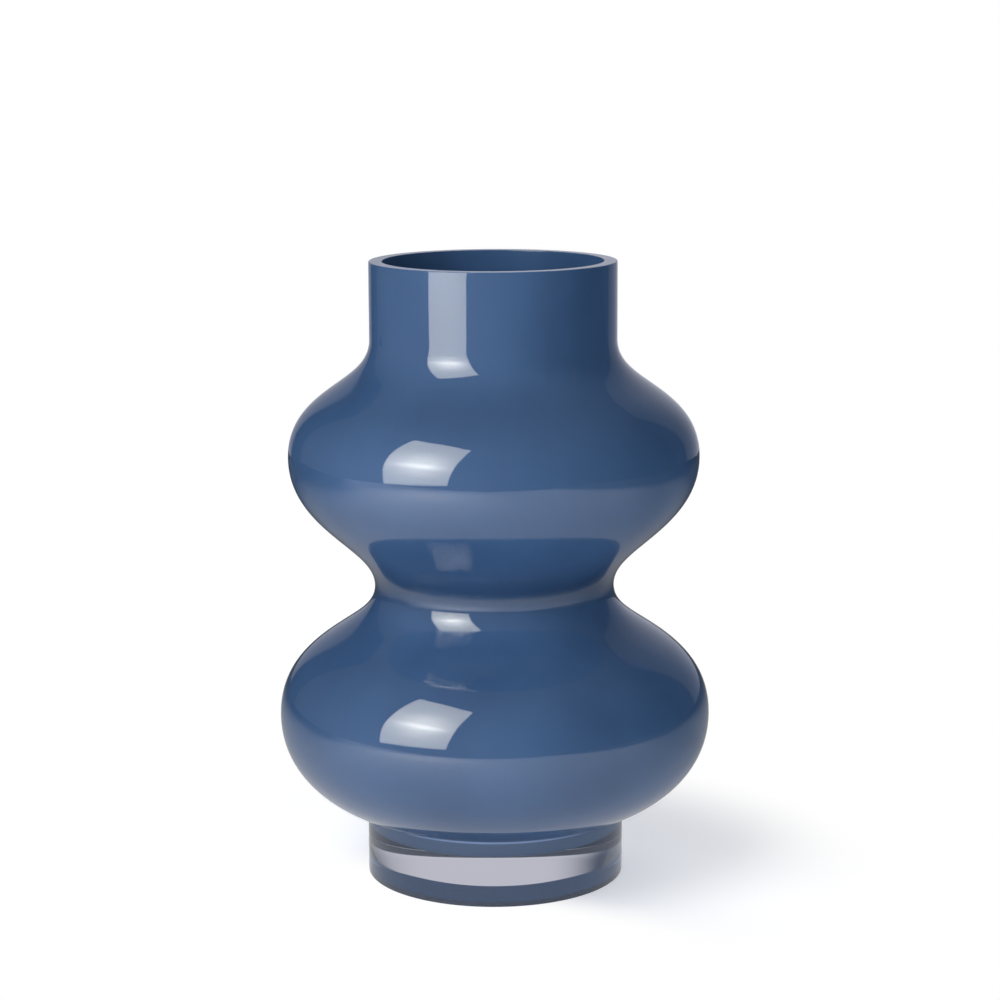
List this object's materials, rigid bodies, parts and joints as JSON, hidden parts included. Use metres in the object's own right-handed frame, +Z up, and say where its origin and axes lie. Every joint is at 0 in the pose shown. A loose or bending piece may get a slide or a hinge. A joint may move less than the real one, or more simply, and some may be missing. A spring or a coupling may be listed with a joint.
{
  "type": "glass vase",
  "caption": "Blown cased glass vase with an opaque blue lining, a clear outer layer, a straight neck, rounded swells above and below a waist, and a thick clear foot.",
  "frame": {"origin": "centre of the base, on the surface that the vase stands on", "axes": "+Z up along the vase's axis, towards the rim; X and Y are alike"},
  "size_m": [0.1394, 0.1394, 0.2],
  "materials": {
    "blue_glass": "polished opaque",
    "clear_glass": "polished clear"
  },
  "bodies": {
    "root": {"blue_lining": "blue_glass", "clear_casing": "clear_glass", "clear_foot": "clear_glass"}
  },
  "joints": []
}
